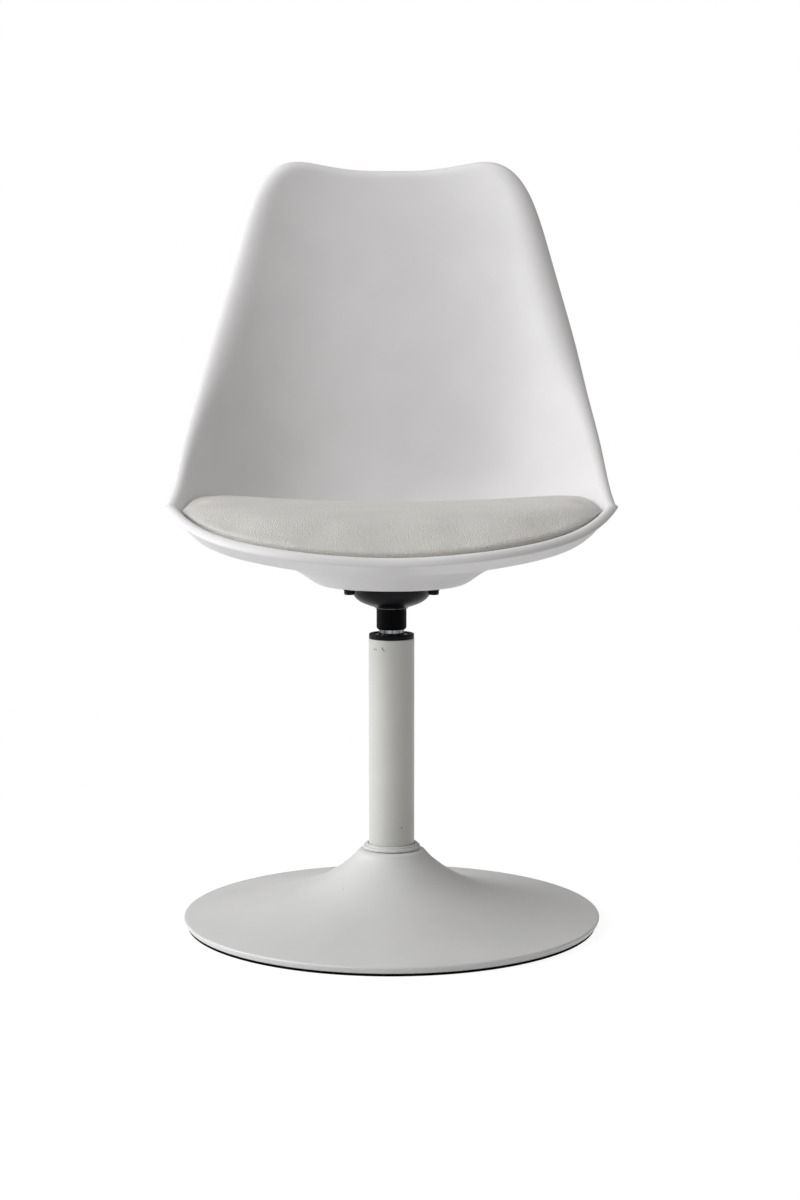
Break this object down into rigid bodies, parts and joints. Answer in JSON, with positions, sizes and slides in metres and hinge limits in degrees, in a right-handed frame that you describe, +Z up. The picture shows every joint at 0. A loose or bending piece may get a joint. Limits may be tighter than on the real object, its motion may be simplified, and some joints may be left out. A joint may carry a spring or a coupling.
{
  "type": "swivel chair",
  "caption": "Swivel dining chair: moulded plastic bucket shell with rolled rim and domed leather cushion, turning on a steel column over a round trumpet base.",
  "frame": {"origin": "on the floor, on the swivel axis, at the middle of the floor ring's underside", "axes": "+Z up, -Y the way the sitter looks at rest, +X to the right seen from the front"},
  "size_m": [0.4874, 0.5109, 0.8514],
  "materials": {
    "shell_plastic": "satin",
    "cushion_leather": "satin",
    "cushion_foam": "matte",
    "board_plastic": "matte",
    "black_steel": "satin",
    "zinc_steel": "satin",
    "insert_brass": "satin",
    "spindle_chrome": "polished",
    "bearing_steel": "polished",
    "natural_nylon": "satin",
    "black_plastic": "satin",
    "base_paint": "satin",
    "collar_plastic": "satin",
    "bare_steel": "satin",
    "weight_iron": "matte",
    "floor_rubber": "matte"
  },
  "bodies": {
    "pedestal": {"column_tube": "base_paint", "cap_ring": "black_plastic", "cap_washer": "zinc_steel", "lower_bush": "natural_nylon", "lower_race": "bearing_steel", "column_foot": "bare_steel", "base_collar": "collar_plastic", "base_cover": "base_paint", "base_weight": "weight_iron", "base_hub": "bare_steel", "hub_bolt": "zinc_steel", "hub_washer": "zinc_steel", "lock_washer": "zinc_steel", "floor_ring": "floor_rubber"},
    "seat": {"seat_shell": "shell_plastic", "shell_inserts": "insert_brass", "cushion_cover": "cushion_leather", "cushion_foam": "cushion_foam", "cushion_board": "board_plastic", "cushion_screws": "zinc_steel", "seat_plate": "black_steel", "plate_bolts": "black_steel", "plate_washers": "black_steel", "plate_dish": "black_steel", "taper_socket": "black_steel", "socket_washer": "zinc_steel", "spindle": "spindle_chrome", "upper_race": "bearing_steel", "retaining_ring": "bearing_steel"},
    "bearing": {"bearing_cage": "natural_nylon", "bearing_balls": "bearing_steel"}
  },
  "joints": [
    {"name": "seat_swivel", "type": "hinge", "parent": "pedestal", "child": "seat", "pos_m": [0, 0, 0.3], "axis": [0, 0, 1], "continuous": true},
    {"name": "cage_spin", "type": "hinge", "parent": "pedestal", "child": "bearing", "pos_m": [0, 0, 0.057], "axis": [0, 0, 1], "continuous": true}
  ],
  "couplings": [
    {"joint": "cage_spin", "follows": "seat_swivel", "ratio": 0.5}
  ]
}
